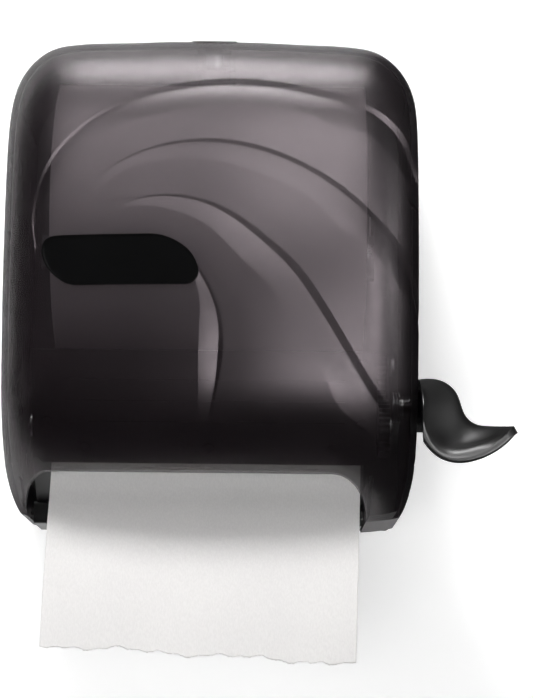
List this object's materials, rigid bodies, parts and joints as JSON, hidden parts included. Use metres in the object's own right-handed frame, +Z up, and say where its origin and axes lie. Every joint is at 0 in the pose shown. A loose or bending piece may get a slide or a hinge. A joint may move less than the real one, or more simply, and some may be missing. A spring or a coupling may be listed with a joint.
{
  "type": "lever roll towel dispenser",
  "caption": "Wall-mounted roll towel dispenser with a smoked, wave-moulded hinged cover, a side lever that feeds the towel through a nip, a top lock and a spring-loaded roll arm.",
  "frame": {"origin": "middle of the four wall-screw holes, on the back face", "axes": "+Y into the wall, +Z up, +X to the right as the user faces it, towards the lever"},
  "size_m": [0.3312, 0.2172, 0.4215],
  "materials": {
    "smoked": "smoked translucent satin",
    "gloss_black": "gloss",
    "black": "satin",
    "grey": "satin",
    "white": "satin",
    "steel": "brushed",
    "chrome": "polished",
    "rubber": "matt",
    "towel": "creped paper",
    "card": "cardboard"
  },
  "bodies": {
    "base": {"latch_strike": "black", "back_plate": "black", "base_screws": "steel", "cover_hinge_pins": "steel", "left_side_plate": "black", "right_side_plate": "black", "front_panel": "black", "panel_screws": "steel", "tear_bar": "steel", "tear_bar_screws": "steel", "rear_guide": "black", "guide_rod": "steel", "tie_rod": "steel", "feed_bushes": "white", "pressure_blocks": "white", "pressure_springs": "steel", "gear_case": "black", "gear_case_screws": "steel", "lever_bushes": "white", "lever_spring": "steel", "roll_arm_left": "grey", "roll_hub_left": "white", "arm_pin": "steel", "arm_spring": "steel", "towel_web": "towel"},
    "cover": {"cover": "smoked", "badge": "gloss_black", "lock_escutcheon": "black", "lock_nut": "steel", "latch_guides": "black"},
    "lock": {"lock_barrel": "chrome", "lock_cam": "steel"},
    "latch": {"latch_bolt": "steel"},
    "lever": {"lever": "black", "lever_shaft": "steel", "sector_gear": "white", "lever_screw": "steel"},
    "feed_roller": {"feed_roller": "grey", "feed_grips": "rubber", "drive_pinion": "white", "one_way_clutch": "steel", "feed_clips": "steel"},
    "pressure_roller": {"pressure_roller": "grey", "pressure_tyres": "rubber"},
    "towel_roll": {"towel_roll": "towel", "roll_core": "card"},
    "towel_tail": {"towel_tail": "towel"},
    "roll_arm_right": {"roll_arm_right": "grey", "roll_hub_right": "white"}
  },
  "joints": [
    {"name": "cover_hinge", "type": "hinge", "parent": "base", "child": "cover", "pos_m": [0, -0.04, -0.153], "axis": [1, 0, 0], "range_deg": [0, 80], "deforming": ["towel_tail"]},
    {"name": "lock_turn", "type": "hinge", "parent": "cover", "child": "lock", "pos_m": [0, -0.15, 0.1515], "axis": [0, -0.3098, 0.9508], "range_deg": [0, 93]},
    {"name": "latch_slide", "type": "slide", "parent": "cover", "child": "latch", "axis": [0, 1, 0], "range_m": [0, 0.007]},
    {"name": "lever_pivot", "type": "hinge", "parent": "base", "child": "lever", "pos_m": [0.136, -0.06, -0.08], "axis": [1, 0, 0], "range_deg": [0, 34], "stiffness_Nm_per_rad": 0.6, "springref_deg": -28.65, "deforming": ["lever_spring"]},
    {"name": "feed_spin", "type": "hinge", "parent": "base", "child": "feed_roller", "pos_m": [0, -0.1395, -0.105], "axis": [1, 0, 0], "range_deg": [-126, 0]},
    {"name": "pressure_spin", "type": "hinge", "parent": "base", "child": "pressure_roller", "pos_m": [0, -0.1115, -0.105], "axis": [1, 0, 0], "range_deg": [0, 214]},
    {"name": "roll_spin", "type": "hinge", "parent": "base", "child": "towel_roll", "pos_m": [-0.0015, -0.1005, 0.038], "axis": [1, 0, 0], "range_deg": [-24, 0]},
    {"name": "towel_feed", "type": "slide", "parent": "base", "child": "towel_tail", "axis": [0, 0, -1], "range_m": [0, 0.0375]},
    {"name": "arm_spread", "type": "hinge", "parent": "base", "child": "roll_arm_right", "pos_m": [0.1078, -0.014, 0.038], "axis": [0, 0, 1], "range_deg": [0, 10], "stiffness_Nm_per_rad": 1.5, "springref_deg": -5.73, "deforming": ["arm_spring"]}
  ],
  "couplings": [
    {"joint": "lock_turn", "follows": "latch_slide", "rad_per_m": 224.4},
    {"joint": "feed_spin", "follows": "lever_pivot", "ratio": -3.6667},
    {"joint": "pressure_spin", "follows": "lever_pivot", "ratio": 6.2333},
    {"joint": "roll_spin", "follows": "lever_pivot", "ratio": -0.66667},
    {"joint": "towel_feed", "follows": "lever_pivot", "m_per_rad": 0.062333}
  ]
}
